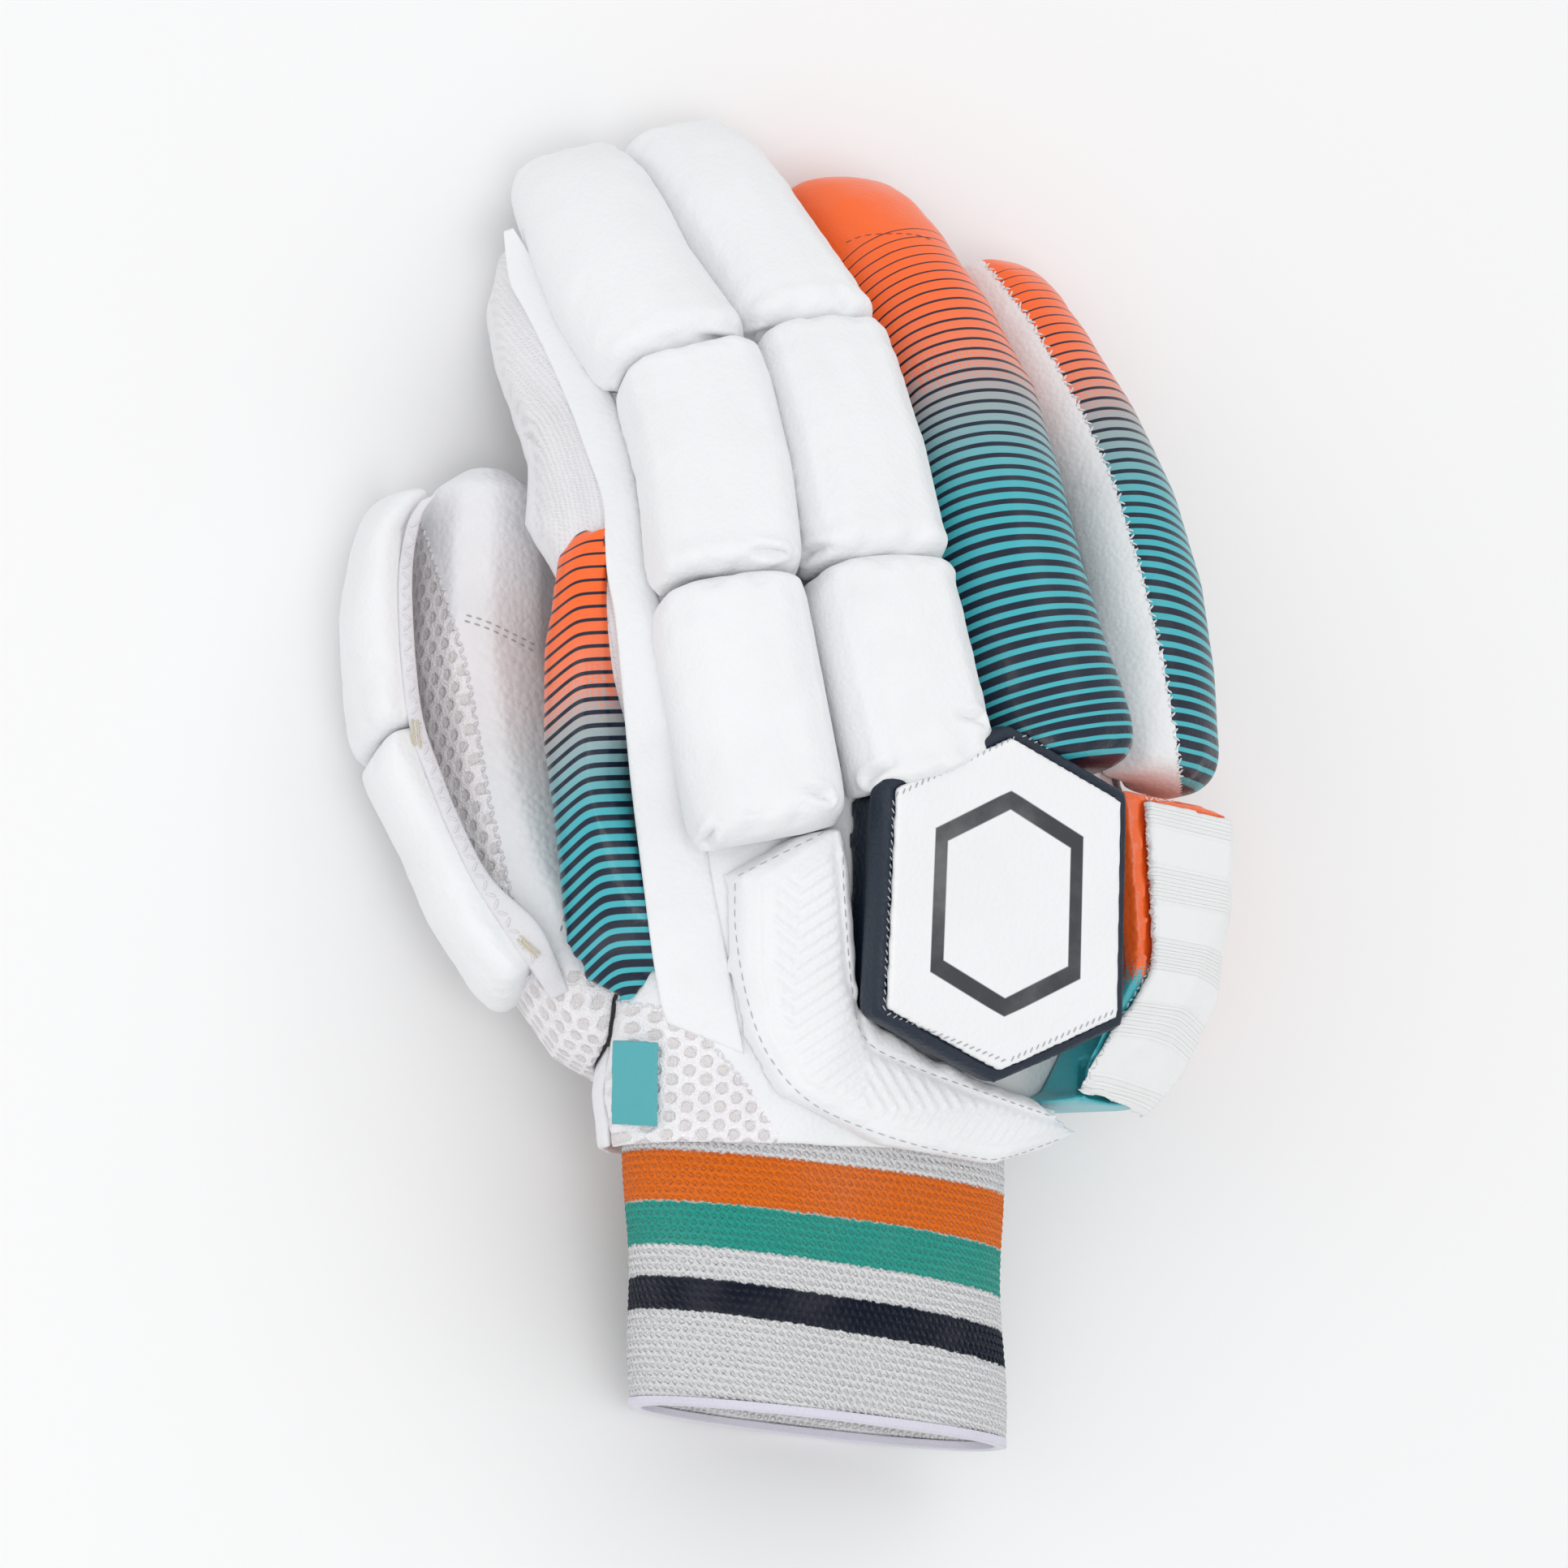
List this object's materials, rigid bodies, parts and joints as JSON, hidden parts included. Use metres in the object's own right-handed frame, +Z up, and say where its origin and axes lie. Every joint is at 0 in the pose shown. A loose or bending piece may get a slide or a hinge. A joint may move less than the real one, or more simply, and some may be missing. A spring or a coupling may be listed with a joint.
{
  "type": "cricket batting glove",
  "caption": "Right-hand cricket batting glove lying palm down: padded leather rolls and blocks on a hollow leather and knit hand, with a striped knitted cuff.",
  "frame": {"origin": "bottom centre of the glove's bounding box, on the surface it lies on", "axes": "+Y towards the fingertips, +X towards the little finger, +Z up"},
  "size_m": [0.184, 0.2774, 0.0911],
  "materials": {
    "white_leather": "fine grained, satin",
    "palm_leather": "soft, matt",
    "hand_mesh": "open knitted mesh",
    "printed_roll": "printed in fading stripes, glossy",
    "navy_leather": "satin",
    "orange_leather": "fading to teal, satin",
    "cuff_knit": "towelling knit with coloured bands",
    "label_tape": "woven tape"
  },
  "bodies": {
    "root": {"index_stall_front": "palm_leather", "index_stall_back": "hand_mesh", "middle_stall_front": "palm_leather", "middle_stall_back": "hand_mesh", "ring_stall_front": "palm_leather", "ring_stall_back": "hand_mesh", "little_stall_front": "palm_leather", "little_stall_back": "hand_mesh", "thumb_stall_front": "palm_leather", "thumb_stall_back": "hand_mesh", "cuff": "cuff_knit", "cuff_hem": "cuff_knit", "palm_leather": "palm_leather", "hand_back": "white_leather", "hex_face": "white_leather", "hex_block": "navy_leather", "wing_block": "orange_leather", "wing_face": "white_leather", "index_proximal_pad": "white_leather", "index_middle_pad": "white_leather", "index_distal_pad": "white_leather", "middle_proximal_pad": "white_leather", "middle_middle_pad": "white_leather", "middle_distal_pad": "white_leather", "ring_roll": "printed_roll", "little_roll": "printed_roll", "little_side_strip": "white_leather", "wrist_panel": "white_leather", "label_tab": "label_tape", "side_roll": "printed_roll", "thumb_proximal_pad": "white_leather", "thumb_distal_pad": "white_leather"}
  },
  "joints": []
}
